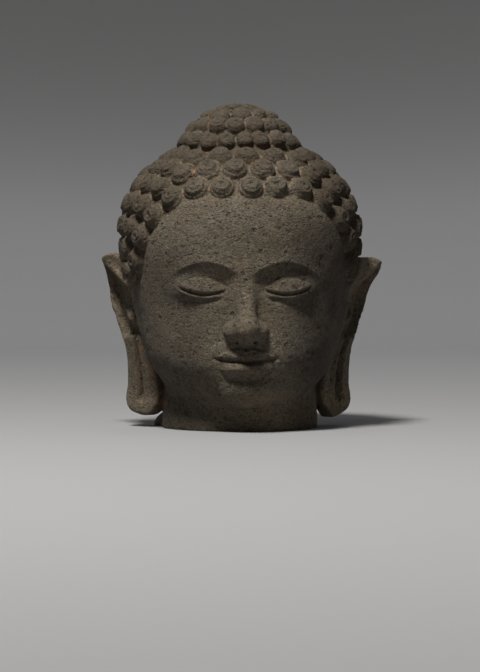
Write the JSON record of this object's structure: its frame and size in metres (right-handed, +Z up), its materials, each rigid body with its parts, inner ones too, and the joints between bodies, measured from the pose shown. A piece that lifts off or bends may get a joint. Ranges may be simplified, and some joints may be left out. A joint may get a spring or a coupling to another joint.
{
  "type": "stone buddha head",
  "caption": "Carved volcanic stone head with lowered lids, snail curls in staggered rows, a domed cranial knob and long slit ear lobes, cut flat at the neck to stand by itself",
  "frame": {"origin": "middle of the flat underside of the neck, on the plane it stands on", "axes": "+Z up, the face looks along -Y, +X is on the right of a viewer who faces it"},
  "size_m": [0.3096, 0.2823, 0.3531],
  "materials": {
    "stone": "worn matte volcanic stone with fine pits and a brown patina"
  },
  "bodies": {
    "root": {"buddha_head": "stone"}
  },
  "joints": []
}
